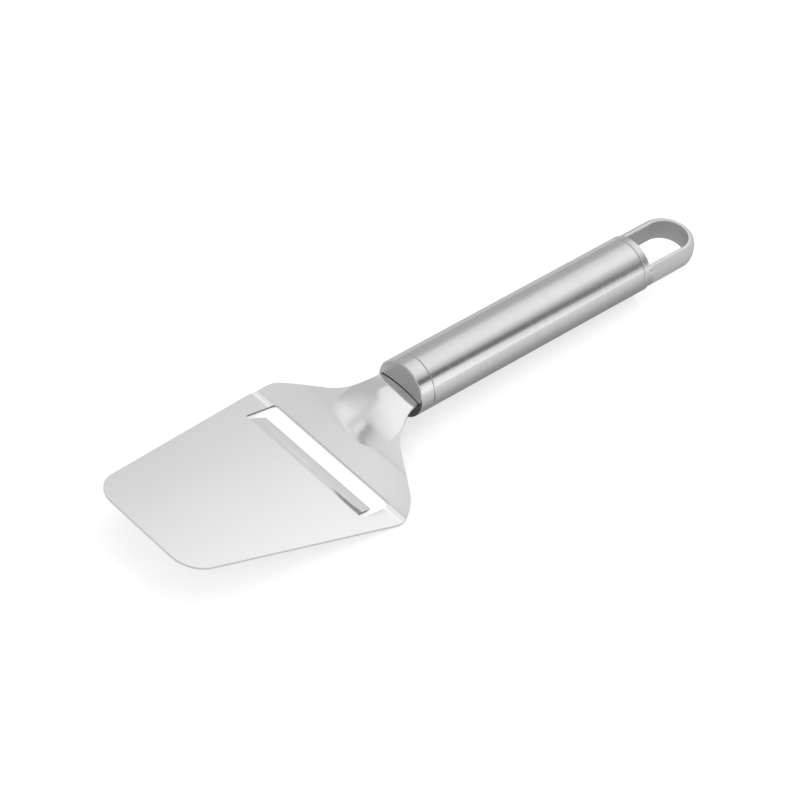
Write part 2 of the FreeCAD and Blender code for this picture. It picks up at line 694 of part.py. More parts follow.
def front_ferrule():
    """Turned collar with an arched slot for the neck and a spigot for the tube."""
    body = doc.addObject("PartDesign::Body", "front_ferrule")
    rules = [
        ("-dims.collar_length", "0"), ("-dims.collar_length", TUBE_RADIUS),
        ("-dims.seam_gap", TUBE_RADIUS), ("-dims.seam_gap", SPIGOT_RADIUS),
        ("dims.front_spigot_length", SPIGOT_RADIUS), ("dims.front_spigot_length", "0"),
    ]
    turned(body, "ferrule_turned", rules)
    radius = size("tube_diameter") / 2
    rounded(body, "Fillet", "ferrule_front_edge", "dims.collar_edge_radius",
            lambda edge: is_rim(edge, -size("collar_length"), radius))
    rounded(body, "Chamfer", "ferrule_seam_edge", "dims.seam_chamfer",
            lambda edge: is_rim(edge, -size("seam_gap"), radius))
    socket = feature(body, "Pocket", "neck_socket", Reversed=True,
                     Profile=arch_slot(body, "neck_socket_profile", size("neck_width") / 2))
    socket.setExpression("Length", "dims.socket_depth + dims.slot_clearance")
    feature(body, "Pocket", "tang_slot", Reversed=True, Type="ThroughAll",
            Profile=arch_slot(body, "tang_slot_profile", size("tang_width") / 2))
    sketch = body_sketch(body, "pin_hole_places", "XY_Plane")
    for number, sign in enumerate(("", "-")):
        place = Vector(size("pin_reach"), float(f"{sign}1") * size("pin_spacing") / 2, 0)
        sketch.addGeometry(Part.Circle(place, Vector(0, 0, 1), size("pin_diameter") / 2))
        measure(sketch, "Radius", (number,), "dims.pin_diameter / 2 + dims.pin_clearance")
        measure(sketch, "DistanceX", (number, CENTRE), "dims.pin_reach")
        measure(sketch, "DistanceY", (number, CENTRE), f"{sign}dims.pin_spacing / 2")
    feature(body, "Pocket", "pin_holes", Profile=sketch, Type="ThroughAll", Midplane=True)
    return body


def handle_tube():
    """Thin-walled round tube between the two seams."""
    body = doc.addObject("PartDesign::Body", "handle_tube")
    inner = "dims.tube_diameter / 2 - dims.tube_wall"
    rules = [("0", inner), ("0", TUBE_RADIUS), ("dims.tube_length", TUBE_RADIUS), ("dims.tube_length", inner)]
    turned(body, "tube_wall", rules)
    radius = size("tube_diameter") / 2
    rounded(body, "Chamfer", "tube_seam_edges", "dims.seam_chamfer",
            lambda edge: is_rim(edge, 0, radius) or is_rim(edge, size("tube_length"), radius))
    return body


def hang_loop_cap():
    """Rear cap in one piece: spigot, ring and a flat-sided loop with a round end."""
    body = doc.addObject("PartDesign::Body", "hang_loop_cap")
    radius = size("tube_diameter") / 2
    seam = size("tube_length")
    ring_end = seam + size("ring_length")
    loop_end = ring_end + size("loop_length")
    rules = [
        ("dims.tube_length - dims.rear_spigot_length", "0"),
        ("dims.tube_length - dims.rear_spigot_length", SPIGOT_RADIUS),
        ("dims.tube_length + dims.seam_gap", SPIGOT_RADIUS), ("dims.tube_length + dims.seam_gap", TUBE_RADIUS),
        (DOME_PLACE, TUBE_RADIUS), (DOME_PLACE, "0"),
    ]
    turned(body, "cap_turned", rules)
    dome = feature(body, "AdditiveSphere", "loop_dome")
    dome.Placement = Placement(Vector(), Rotation(Vector(0, 0, 1), 180))
    dome.setExpression("Radius", TUBE_RADIUS)
    dome.setExpression("Placement.Base.x", DOME_PLACE)
    rounded(body, "Chamfer", "cap_seam_edge", "dims.seam_chamfer",
            lambda edge: is_rim(edge, seam + size("seam_gap"), radius))

    flats = body_sketch(body, "loop_flats", "XZ_Plane")
    half_band = size("loop_band_height") / 2
    far = loop_end + size("overrun")
    reach = radius + size("overrun")
    for number, sign in enumerate((1, -1)):
        low, high = sign * half_band, sign * reach
        corners = [(ring_end, low), (far, low), (far, high), (ring_end, high)]
        for start, end in zip(corners, corners[1:] + corners[:1]):
            flats.addGeometry(line(start, end))
        first = 4 * number
        for side in range(4):
            rule(flats, "Coincident", first + side, END, first + (side + 1) % 4, START)
        rule(flats, "Horizontal", first)
        rule(flats, "Vertical", first + 1)
        rule(flats, "Horizontal", first + 2)
        rule(flats, "Vertical", first + 3)
        mark = "" if sign > 0 else "-"
        measure(flats, "DistanceX", (first, START), "dims.tube_length + dims.ring_length")
        measure(flats, "DistanceY", (first, START), f"{mark}dims.loop_band_height / 2")
        measure(flats, "DistanceX", (first + 1, END), f"{LOOP_END} + dims.overrun")
        measure(flats, "DistanceY", (first + 1, END), f"{mark}(dims.tube_diameter / 2 + dims.overrun)")
    feature(body, "Pocket", "loop_flat_cuts", Profile=flats, Type="ThroughAll", Midplane=True)

    opening = body_sketch(body, "loop_opening", "XY_Plane")
    half_open = placed(LOOP_OPENING_WIDTH) / 2
    centre_x = loop_end - size("loop_end_thickness") - half_open
    opening.addGeometry([
        line((ring_end, -half_open), (ring_end, half_open)),
        line((ring_end, half_open), (centre_x, half_open)),
        arc((centre_x, 0), half_open, -90, 90),
        line((centre_x, -half_open), (ring_end, -half_open)),
    ])
    front, left, end_arc, right = range(4)
    chain(
        opening,
        (front, END, left, START, "Coincident"), (left, END, end_arc, END, "Tangent"),
        (end_arc, START, right, START, "Tangent"), (right, END, front, START, "Coincident"),
    )
    rule(opening, "Vertical", front)
    rule(opening, "Horizontal", left)
    rule(opening, "PointOnObject", end_arc, CENTRE, -1)
    measure(opening, "Radius", (end_arc,), f"{LOOP_OPENING_WIDTH} / 2")
    measure(opening, "DistanceX", (front, START), "dims.tube_length + dims.ring_length")
    arc_place = f"{LOOP_END} - dims.loop_end_thickness - {LOOP_OPENING_WIDTH} / 2"
    measure(opening, "DistanceX", (end_arc, CENTRE), arc_place)
    feature(body, "Pocket", "loop_opening_cut", Profile=opening, Type="ThroughAll", Midplane=True)

    def on_flat(edge):
        box = edge.BoundBox
        level = math.isclose(box.ZMin, box.ZMax, abs_tol=NEAR)
        return level and math.isclose(abs(box.ZMax), half_band, abs_tol=NEAR) and box.XMax > ring_end + NEAR

    def is_outer(edge):
        middle = edge.valueAt((edge.FirstParameter + edge.LastParameter) / 2)
        past_opening = middle.x > loop_end - size("loop_end_thickness") + NEAR
        return on_flat(edge) and (abs(middle.y) > half_open + NEAR or past_opening)

    rounded(body, "Fillet", "loop_outer_edges", "dims.loop_edge_radius", is_outer)
    rounded(body, "Fillet", "loop_inner_edges", "dims.loop_inner_edge_radius",
            lambda edge: on_flat(edge) and abs(edge.CenterOfMass.y) < half_open + NEAR
            and edge.BoundBox.XMin > ring_end + NEAR and not is_outer(edge))
    return body


def rest_placement(pieces):
    """Turn that lays heel and rear ring on the ground, with the origin under the middle of the slicer."""
    shift_x, shift_z = press_direction()
    heel_x, heel_z = curve.bend_centre[0] + shift_x, curve.bend_centre[1] + shift_z
    ring_x, ring_z = size("tube_length") + size("ring_length"), -size("tube_diameter") / 2
    span = math.hypot(ring_x - heel_x, ring_z - heel_z)
    tilt = math.atan2(ring_z - heel_z, ring_x - heel_x) + math.asin(size("heel_bend_radius") / span)
    turn = Placement(Vector(), Rotation(Vector(0, 1, 0), math.degrees(tilt)))
    box = FreeCAD.BoundBox()
    for piece in pieces:
        shape = piece.Shape.copy()
        shape.Placement = turn.multiply(shape.Placement)
        box.add(shape.optimalBoundingBox(False, False))
    return Placement(Vector(-box.Center.x, 0, -box.ZMin), Rotation()).multiply(turn)


def main():
    """Build every piece, check it, lay the slicer at rest and write one file per piece."""
    pieces = [slicing_blade(), front_ferrule(), tang_pins(), handle_tube(), hang_loop_cap()]
    doc.recompute()
    place = rest_placement(pieces)
    for piece in pieces:
        piece.Placement = place.multiply(piece.Placement)
    doc.recompute()
    failed = [item.Name for item in doc.Objects if "Invalid" in item.State or "Error" in item.State]
    if failed:
        raise RuntimeError(f"failed objects: {failed}")
    os.makedirs("parts", exist_ok=True)
    for piece in pieces:
        if piece.Shape.isNull() or not piece.Shape.isValid():
            raise RuntimeError(f"bad shape: {piece.Label}")
        piece.Shape.exportStep(f"parts/{piece.Label}.step")
        print(piece.Label, len(piece.Shape.Solids), round(piece.Shape.Volume, 1))


main()
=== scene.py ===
"""Studio scene of a steel cheese slicer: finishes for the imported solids, lamps, floor and camera."""
import logging
import math
from collections.abc import Callable
from dataclasses import dataclass
from enum import Enum

import bmesh
import bpy
from mathutils import Matrix, Vector


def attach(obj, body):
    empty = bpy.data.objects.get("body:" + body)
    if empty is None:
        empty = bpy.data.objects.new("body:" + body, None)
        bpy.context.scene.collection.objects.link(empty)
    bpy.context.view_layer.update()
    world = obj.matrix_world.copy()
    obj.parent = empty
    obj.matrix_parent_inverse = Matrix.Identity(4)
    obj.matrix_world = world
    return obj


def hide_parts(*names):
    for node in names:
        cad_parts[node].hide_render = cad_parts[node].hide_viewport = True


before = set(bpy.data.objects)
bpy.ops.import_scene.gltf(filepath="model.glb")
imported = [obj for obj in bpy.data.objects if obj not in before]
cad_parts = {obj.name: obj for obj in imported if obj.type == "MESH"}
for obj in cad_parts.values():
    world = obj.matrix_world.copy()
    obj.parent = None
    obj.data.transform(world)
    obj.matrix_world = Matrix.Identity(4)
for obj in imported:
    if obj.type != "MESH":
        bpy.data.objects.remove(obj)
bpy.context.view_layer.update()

BODY = "root"
LOG = logging.getLogger("cheese_slicer")

# the handle's axis drops towards the loop by this much, so patterns on the handle are turned back by it
HANDLE_TILT = math.radians(1.966)
# corners of one solid's triangles that are closer than this are joined
MERGE_GAP = 1.0e-6
TRIANGLE_CORNERS = 3
# the level that noise varies about
NOISE_MIDDLE = 0.5

# where a change starts and where it ends, or the two ends of an edge, in metres
Span = tuple[float, float]
Triple = tuple[float, float, float]


class Operation(Enum):
    """Math node operations that expressions use."""

    ADD = "ADD"
    SUBTRACT = "SUBTRACT"
    MULTIPLY = "MULTIPLY"
    MAXIMUM = "MAXIMUM"
    MINIMUM = "MINIMUM"


class Value:
    """A number in a shader, which takes part in Python arithmetic."""

    def __init__(self, graph: "Graph", socket: bpy.types.NodeSocket) -> None:
        """Wrap an output socket.

        Args:
            graph: the node tree that the socket belongs to.
            socket: the output to wrap.
        """
        self.graph = graph
        self.socket = socket

    def _combine(self, operation: Operation, first: "Number", second: "Number") -> "Value":
        """Add one Math node.

        Args:
            operation: what the node does.
            first: its first input.
            second: its second input.

        Returns:
            The node's result.
        """
        node = self.graph.node("ShaderNodeMath", {"operation": operation.value}, {0: first, 1: second})
        return Value(self.graph, node.outputs[0])

    def __add__(self, other: "Number") -> "Value":
        """Sum of two numbers."""
        return self._combine(Operation.ADD, self, other)

    def __radd__(self, other: "Number") -> "Value":
        """Sum of two numbers, with this one second."""
        return self._combine(Operation.ADD, other, self)

    def __sub__(self, other: "Number") -> "Value":
        """Difference of two numbers."""
        return self._combine(Operation.SUBTRACT, self, other)

    def __rsub__(self, other: "Number") -> "Value":
        """Difference of two numbers, with this one second."""
        return self._combine(Operation.SUBTRACT, other, self)

    def __mul__(self, other: "Number") -> "Value":
        """Product of two numbers."""
        return self._combine(Operation.MULTIPLY, self, other)

    def __rmul__(self, other: "Number") -> "Value":
        """Product of two numbers, with this one second."""
        return self._combine(Operation.MULTIPLY, other, self)

    def larger(self, other: "Number") -> "Value":
        """The larger of two numbers."""
        return self._combine(Operation.MAXIMUM, self, other)

    def smaller(self, other: "Number") -> "Value":
        """The smaller of two numbers."""
        return self._combine(Operation.MINIMUM, self, other)

    def ramp(self, low: float, high: float) -> "Value":
        """Smooth rise from 0 to 1.

        Args:
            low: where the rise starts; it may be above high, for a fall.
            high: where the rise ends.

        Returns:
            The share of the way, eased at both ends.
        """
        node = self.graph.node(
            "ShaderNodeMapRange",
            {"interpolation_type": "SMOOTHSTEP", "clamp": True},
            {"Value": self, "From Min": low, "From Max": high, "To Min": 0.0, "To Max": 1.0},
        )
        return Value(self.graph, node.outputs["Result"])

    def between(self, first: "Number", second: "Number") -> "Value":
        """Mix of two numbers: the first where this share is 0, the second where it is 1."""
        return first + (second - first) * self

    def spread(self, amount: float) -> "Value":
        """Departure of this noise from its middle, times an amount."""
        return (self - NOISE_MIDDLE) * amount


Number = Value | float


@dataclass(frozen=True)
class Grain:
    """A noise pattern: repeats in a metre, fine detail, and how it is stretched and turned about Y."""

    scale: float
    detail: float = 2.0
    fineness: float = 0.5
    stretch: Triple = (1.0, 1.0, 1.0)
    turn: float = 0.0


class Graph:
    """A node tree under construction."""

    def __init__(self, tree: bpy.types.NodeTree) -> None:
        """Empty the tree.

        Args:
            tree: the tree of a material or a world.
        """
        self.tree = tree
        self.tree.nodes.clear()

    def node(self, kind: str, settings: dict | None = None, inputs: dict | None = None) -> bpy.types.Node:
        """Add a node.

        Args:
            kind: the node's type.
            settings: its properties, set before its sockets.
            inputs: values, wrapped numbers or sockets for its inputs, by name or place.

        Returns:
            The new node.
        """
        made = self.tree.nodes.new(kind)
        for key, setting in (settings or {}).items():
            setattr(made, key, setting)
        for key, given in (inputs or {}).items():
            if isinstance(given, Value):
                self.tree.links.new(given.socket, made.inputs[key])
            elif isinstance(given, bpy.types.NodeSocket):
                self.tree.links.new(given, made.inputs[key])
            else:
                made.inputs[key].default_value = given
        return made

    def value(self, node: bpy.types.Node, output: str | int = 0) -> Value:
        """Wrap one output of a node as a number."""
        return Value(self, node.outputs[output])

    def place(self, turn: float = 0.0, stretch: Triple = (1.0, 1.0, 1.0)) -> bpy.types.NodeSocket:
        """Object coordinates, turned about Y and then stretched.

        Args:
            turn: angle about Y in radians.
            stretch: factor along each axis.

        Returns:
            The coordinates' socket.
        """
        coordinates = self.node("ShaderNodeTexCoord")
        mapping = self.node(
            "ShaderNodeMapping",
            {"vector_type": "POINT"},
            {"Vector": coordinates.outputs["Object"], "Rotation": (0.0, turn, 0.0)},
        )
        scaled = self.node(
            "ShaderNodeVectorMath",
            {"operation": "MULTIPLY"},
            {0: mapping.outputs["Vector"], 1: stretch},
        )
        return scaled.outputs["Vector"]

    def plan(self, turn: float = 0.0) -> tuple[Value, Value]:
        """Object coordinates along X and Y, turned about Y."""
        axes = self.node("ShaderNodeSeparateXYZ", {}, {0: self.place(turn)})
        return self.value(axes, "X"), self.value(axes, "Y")

    def noise(self, grain: Grain) -> Value:
        """Noise of the given grain.

        Args:
            grain: the pattern.

        Returns:
            A level from 0 to 1.
        """
        made = self.node(
            "ShaderNodeTexNoise",
            {"noise_dimensions": "3D"},
            {
                "Vector": self.place(grain.turn, grain.stretch),
                "Scale": grain.scale,
                "Detail": grain.detail,
                "Roughness": grain.fineness,
            },
        )
        return self.value(made)

    def grey(self, level: Number) -> bpy.types.NodeSocket:
        """Neutral colour of a level that changes over the surface."""
        made = self.node("ShaderNodeCombineColor", {"mode": "RGB"}, {0: level, 1: level, 2: level})
        return made.outputs[0]

    def bump(self, height: Value) -> bpy.types.NodeSocket:
        """Normal of a relief whose height is in metres."""
        made = self.node("ShaderNodeBump", {}, {"Strength": 1.0, "Distance": 1.0, "Height": height})
        return made.outputs["Normal"]

    def emission(self, level: Number) -> bpy.types.NodeSocket:
        """Shader that glows at a level."""
        made = self.node("ShaderNodeEmission", {}, {"Color": self.grey(level), "Strength": 1.0})
        return made.outputs[0]

    def close(self, surface: bpy.types.NodeSocket, output: str = "ShaderNodeOutputMaterial") -> None:
        """End the graph with its output."""
        self.node(output, {}, {"Surface": surface})


def neutral(level: float) -> tuple[float, float, float, float]:
    """Neutral colour of a level that is the same all over."""
    return (level, level, level, 1.0)


def new_material(name: str) -> tuple[bpy.types.Material, Graph]:
    """Make a material with an empty node tree.

    Args:
        name: the material's name.

    Returns:
        The material and its graph.
    """
    material = bpy.data.materials.new(name)
    material.use_nodes = True
    return material, Graph(material.node_tree)


# tone, roughness and height of the relief in metres, over a surface
Surface = tuple[Value, Value, Value]


@dataclass(frozen=True)
class Finish:
    """A metal finish, with the tint of its reflections at a low angle."""

    name: str = "bare_metal"
    rim: float = 1.0

    def surface(self, graph: Graph) -> Surface:
        """What changes over the surface, which each finish gives."""
        raise NotImplementedError

    def material(self) -> bpy.types.Material:
        """Build the material.

        Returns:
            The material.
        """
        made, graph = new_material(self.name)
        tone, roughness, height = self.surface(graph)
        metal = graph.node(
            "ShaderNodeBsdfPrincipled",
            {},
            {
                "Base Color": graph.grey(tone),
                "Metallic": 1.0,
                "Roughness": roughness,
                "Specular Tint": neutral(self.rim),
                "Normal": graph.bump(height),
            },
        )
        graph.close(metal.outputs[0])
        return made


@dataclass(frozen=True)
class PolishedSheet(Finish):
    """Rolled and polished sheet steel with a faint grain along its length."""

    name: str = "polished_sheet"
    tone: float = 0.74
    roughness: float = 0.13
    grain: Grain = Grain(2200.0, detail=3.0, stretch=(0.02, 1.0, 1.0))
    grain_depth: float = 0.6e-6
    grain_roughness: float = 0.04
    wave: Grain = Grain(45.0, detail=1.0)
    wave_depth: float = 12.0e-6
    cloud: Grain = Grain(30.0, detail=3.0)
    cloud_tone: float = 0.02
    cloud_roughness: float = 0.05

    def surface(self, graph: Graph) -> Surface:
        """Grain, long waves and clouding.

        Args:
            graph: the material's graph.

        Returns:
            Tone, roughness and height.
        """
        grain = graph.noise(self.grain)
        wave = graph.noise(self.wave)
        cloud = graph.noise(self.cloud)
        tone = self.tone + cloud.spread(self.cloud_tone)
        roughness = self.roughness + grain.spread(self.grain_roughness) + cloud.spread(self.cloud_roughness)
        return tone, roughness, grain * self.grain_depth + wave * self.wave_depth


@dataclass(frozen=True)
class ShearedEdge(Finish):
    """Cut edge of sheet steel, dull and scored across the sheet by the die."""

    name: str = "punched_edge_painted_shade"
    # painted shade: this dark tone, taken by the slot's ends, draws the dark lines of shadow round the slot
    tone: float = 0.20
    roughness: float = 0.42
    score: Grain = Grain(5000.0, stretch=(1.0, 1.0, 0.05))
    score_depth: float = 8.0e-6
    score_tone: float = 0.12
    score_roughness: float = 0.16

    def surface(self, graph: Graph) -> Surface:
        """Score marks.

        Args:
            graph: the material's graph.

        Returns:
            Tone, roughness and height.
        """
        score = graph.noise(self.score)
        tone = self.tone + score.spread(self.score_tone)
        roughness = self.roughness + score.spread(self.score_roughness)
        return tone, roughness, score * self.score_depth


@dataclass(frozen=True)
class BrushedRing(Finish):
    """Steel brushed in fine lines round the handle's axis."""

    name: str = "brushed_ring"
    rim: float = 0.66
    tone: float = 0.51
    roughness: float = 0.21
    lines: Grain = Grain(1428.5714, 4.0, 0.7, (1.0, 0.02, 0.02), -HANDLE_TILT)
    line_depth: float = 9.0e-6
    line_tone: float = 0.08
    line_roughness: float = 0.10

    def surface(self, graph: Graph) -> Surface:
        """Brushed lines.

        Args:
            graph: the material's graph.

        Returns:
            Tone, roughness and height.
        """
        lines = graph.noise(self.lines)
        tone = self.tone + lines.spread(self.line_tone)
        roughness = self.roughness + lines.spread(self.line_roughness)
        return tone, roughness, lines * self.line_depth


@dataclass(frozen=True)
class BrushedTurning(BrushedRing):
    """Steel brushed round the handle's axis, in lines and in wider faint bands."""

    name: str = "brushed_tube"
    bands: Grain = Grain(160.0, stretch=(1.0, 0.05, 0.05), turn=-HANDLE_TILT)
    band_tone: float = 0.03

    def surface(self, graph: Graph) -> Surface:
        """Brushed lines and bands.

        Args:
            graph: the material's graph.

        Returns:
            Tone, roughness and height.
        """
        tone, roughness, height = super().surface(graph)
        return tone + graph.noise(self.bands).spread(self.band_tone), roughness, height


@dataclass(frozen=True)
class SatinSteel(Finish):
    """Fine blasted steel with an even satin grain."""

    name: str = "plain_satin"
    tone: float = 0.50
    roughness: float = 0.55
    grain: Grain = Grain(2857.1429, 3.0, 0.6)
    grain_depth: float = 3.0e-6
    grain_tone: float = 0.05
    grain_roughness: float = 0.10
    cloud: Grain = Grain(60.0)
    cloud_tone: float = 0.03

    def surface(self, graph: Graph) -> Surface:
        """Grain and clouding.

        Args:
            graph: the material's graph.

        Returns:
            Tone, roughness and height.
        """
        grain = graph.noise(self.grain)
        cloud = graph.noise(self.cloud)
        tone = self.tone + grain.spread(self.grain_tone) + cloud.spread(self.cloud_tone)
        roughness = self.roughness + grain.spread(self.grain_roughness)
        return tone, roughness, grain * self.grain_depth


@dataclass(frozen=True)
class TurnedCasting(Finish):
    """Cast cap, brushed round the axis on its ring and blasted to a satin grain on its loop."""

    name: str = "turned_casting"
    rim: float = 0.66
    ring: BrushedRing = BrushedRing(tone=0.50, roughness=0.27, line_depth=3.0e-6)
    loop: SatinSteel = SatinSteel(tone=0.58, roughness=0.66)
    run_out: Span = (0.0922, 0.0952)

    def surface(self, graph: Graph) -> Surface:
        """The ring's finish, which runs out into the loop's.

        Args:
            graph: the material's graph.

        Returns:
            Tone, roughness and height.
        """
        along, _ = graph.plan(-HANDLE_TILT)
        satin = along.ramp(*self.run_out)
        ring_tone, ring_roughness, ring_height = self.ring.surface(graph)
        loop_tone, loop_roughness, loop_height = self.loop.surface(graph)
        return (
            satin.between(ring_tone, loop_tone),
            satin.between(ring_roughness, loop_roughness),
            satin.between(ring_height, loop_height),
        )


def merged_copy(
    node_name: str,
    piece_name: str,
    finishes: list[Finish],
    pick: Callable[[bmesh.types.BMFace], Finish],
) -> bpy.types.Object:
    """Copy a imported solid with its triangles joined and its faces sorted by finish.

    Args:
        node_name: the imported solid.
        piece_name: the copy's name.
        finishes: the finishes that its faces take.
        pick: which of them a face takes.

    Returns:
        The copy, which rides on the body and stands for the solid.
    """
    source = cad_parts[node_name].data
    bends = [corner.vector.copy() for corner in source.corner_normals]
    starts = [face.loop_start for face in source.polygons]
    form = bmesh.new()
    form.from_mesh(source)
    origin = form.faces.layers.int.new("origin_face")
    for number, face in enumerate(form.faces):
        face[origin] = number
    bmesh.ops.remove_doubles(form, verts=form.verts, dist=MERGE_GAP)
    form.normal_update()
    for face in form.faces:
        face.material_index = finishes.index(pick(face))
        face.smooth = True
    mesh = bpy.data.meshes.new(piece_name)
    form.to_mesh(mesh)
    form.free()
    # the joined triangles keep the solid's own smooth normals
    origins = mesh.attributes["origin_face"]
    firsts = [starts[item.value] for item in origins.data]
    normals = [bends[first + step] for first in firsts for step in range(TRIANGLE_CORNERS)]
    mesh.normals_split_custom_set(normals)
    mesh.attributes.remove(origins)
    for finish in finishes:
        mesh.materials.append(finish.material())
    piece = bpy.data.objects.new(piece_name, mesh)
    bpy.context.scene.collection.objects.link(piece)
    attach(piece, BODY)
    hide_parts(node_name)
    return piece


def dressed(node_name: str, finish: Finish) -> bpy.types.Object:
    """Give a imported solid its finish.

    Args:
        node_name: the solid.
        finish: what it takes.

    Returns:
        The solid.
    """
    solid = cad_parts[node_name]
    solid.material_slots[0].material = finish.material()
    return solid


@dataclass
class Blade:
    """Pressed blade: polished faces, dressed outer edges, and dull punched ends of the slot darkened
    further with painted shade.
    """

    faces: Finish = PolishedSheet()
    edges: Finish = ShearedEdge(name="dressed_edge", tone=0.50)
    # painted shade: the slot's ends take the dark punched-edge tone on top of their real dullness
    slot_ends: Finish = ShearedEdge()
    edge_slope: float = 0.35
    end_slope: float = 0.6
    slot_x: Span = (-0.062, -0.034)
    slot_half: float = 0.0285

    def finish_of(self, face: bmesh.types.BMFace) -> Finish:
        """Sort a face: cut edges stand upright, and the slot's ends look across the blade.

        Args:
            face: a face of the blade.

        Returns:
            What it takes.
        """
        if abs(face.normal.z) > self.edge_slope:
            return self.faces
        centre = face.calc_center_median()
        front, rear = self.slot_x
        in_slot = front < centre.x < rear and abs(centre.y) < self.slot_half
        return self.slot_ends if in_slot and abs(face.normal.y) > self.end_slope else self.edges

    def build(self) -> list[bpy.types.Object]:
        """Make the blade."""
        finishes = [self.faces, self.edges, self.slot_ends]
        return [merged_copy("slicing_blade", "blade_sheet", finishes, self.finish_of)]


@dataclass
class Handle:
    """Ferrule, hidden cross pins and tube."""

    rim: Finish = BrushedTurning(name="brushed_ferrule")
    front: Finish = SatinSteel(name="faced_front", tone=0.44, roughness=0.38)
    pins: Finish = SatinSteel(name="plain_pins")
    tube: Finish = BrushedTurning()
    front_slope: float = -0.9

    def finish_of(self, face: bmesh.types.BMFace) -> Finish:
        """Sort a face of the ferrule: its front looks towards the blade."""
        return self.front if face.normal.x < self.front_slope else self.rim

    def build(self) -> list[bpy.types.Object]:
        """Make the ferrule, and dress the pins and the tube.

        Returns:
            The pieces.
        """
        finishes = [self.rim, self.front]
        ferrule = merged_copy("front_ferrule", "ferrule_collar", finishes, self.finish_of)
        return [ferrule, dressed("tang_pins", self.pins), dressed("handle_tube", self.tube)]


@dataclass
class HangLoop:
    """Rear cap: ring and loop, with painted highlight on the strip that looks up and painted shade on the
    wall round the opening.
    """

    casting: Finish = TurnedCasting()
    # painted shade: the wall round the opening takes a darker tone than the rest of the loop
    wall: Finish = TurnedCasting(name="casting_wall_painted_shade", loop=SatinSteel(tone=0.50, roughness=0.66))
    # painted highlight: the strip that looks up takes a lighter tone than the rest of the loop
    top: Finish = TurnedCasting(name="casting_top_painted_highlight", loop=SatinSteel(tone=0.66, roughness=0.52))
    top_slope: float = 0.98
    opening_x: float = 0.106

    def finish_of(self, face: bmesh.types.BMFace) -> Finish:
        """Sort a face: the strip that looks up takes painted highlight, and the wall that looks at the
        middle of the opening takes painted shade.

        Args:
            face: a face of the cap.

        Returns:
            What it takes.
        """
        if face.normal.z > self.top_slope:
            return self.top
        centre = face.calc_center_median()
        inwards = face.normal.x * (self.opening_x - centre.x) - face.normal.y * centre.y
        return self.wall if inwards > 0.0 else self.casting

    def build(self) -> list[bpy.types.Object]:
        """Make the cap."""
        finishes = [self.casting, self.wall, self.top]
        return [merged_copy("hang_loop_cap", "loop_casting", finishes, self.finish_of)]


class Seen(Enum):
    """Which rays meet a studio prop."""

    ALL = "all"
    REFLECTIONS = "reflections"
    LIGHT = "light"


def strip(span_x: Span, first: Span, second: Span) -> list[Vector]:
    """Corners of a flat strip between two edges along X.

    Args:
        span_x: where the edges start and end.
        first: one edge's place along Y and Z.
        second: the other edge's place along Y and Z.

    Returns:
        The corners in order.
    """
    low, high = span_x
    return [Vector(corner) for corner in ((low, *first), (high, *first), (high, *second), (low, *second))]


def flat_prop(
    name: str,
    outlines: list[list[Vector]],
    material: bpy.types.Material,
    seen: Seen,
) -> bpy.types.Object:
    """Make a studio prop of flat faces.

    Args:
        name: its name.
        outlines: the corners of each face in order.
        material: its material.
        seen: which rays meet it.

    Returns:
        The prop, marked as stage.
    """
    form = bmesh.new()
    for corners in outlines:
        bmesh.ops.contextual_create(form, geom=[form.verts.new(corner) for corner in corners])
    mesh = bpy.data.meshes.new(name)
    form.to_mesh(mesh)
    form.free()
    mesh.materials.append(material)
    prop = bpy.data.objects.new(name, mesh)
    bpy.context.scene.collection.objects.link(prop)
    if seen is not Seen.ALL:
        prop.visible_camera = False
        prop.visible_shadow = False
        prop.visible_transmission = False
    if seen is Seen.REFLECTIONS:
        prop.visible_diffuse = False
    return prop


@dataclass(frozen=True)
class Surroundings:
    """Even pale surroundings."""

    level: float = 0.78

    def build(self) -> bpy.types.World:
        """Make the world.

        Returns:
            The world.
        """
        world = bpy.data.worlds.new("pale_surroundings")
        world.use_nodes = True
        graph = Graph(world.node_tree)
        glow = graph.node("ShaderNodeBackground", {}, {"Color": neutral(self.level), "Strength": 1.0})
        graph.close(glow.outputs[0], "ShaderNodeOutputWorld")
        bpy.context.scene.world = world
        return world


@dataclass(frozen=True)
class Floor:
    """Plain pale floor, white to the camera and in the metal, with the slicer's shadow."""

    half: float = 3.0
    tone: float = 0.70
    glow: float = 0.48

    def build(self) -> bpy.types.Object:
        """Make the floor.

        Returns:
            The floor.
        """
        material, graph = new_material("pale_floor")
        rays = graph.node("ShaderNodeLightPath")
        seen = graph.value(rays, "Is Camera Ray").larger(graph.value(rays, "Is Glossy Ray"))
        seen = seen.larger(graph.value(rays, "Is Transmission Ray"))
        paint = graph.node("ShaderNodeBsdfDiffuse", {}, {"Color": neutral(self.tone)})
        shine = graph.emission(seen * self.glow)
        both = graph.node("ShaderNodeAddShader", {}, {0: paint.outputs[0], 1: shine})
        graph.close(both.outputs[0])
        corners = strip((-self.half, self.half), (-self.half, 0.0), (self.half, 0.0))
        return flat_prop("floor", [corners], material, Seen.ALL)


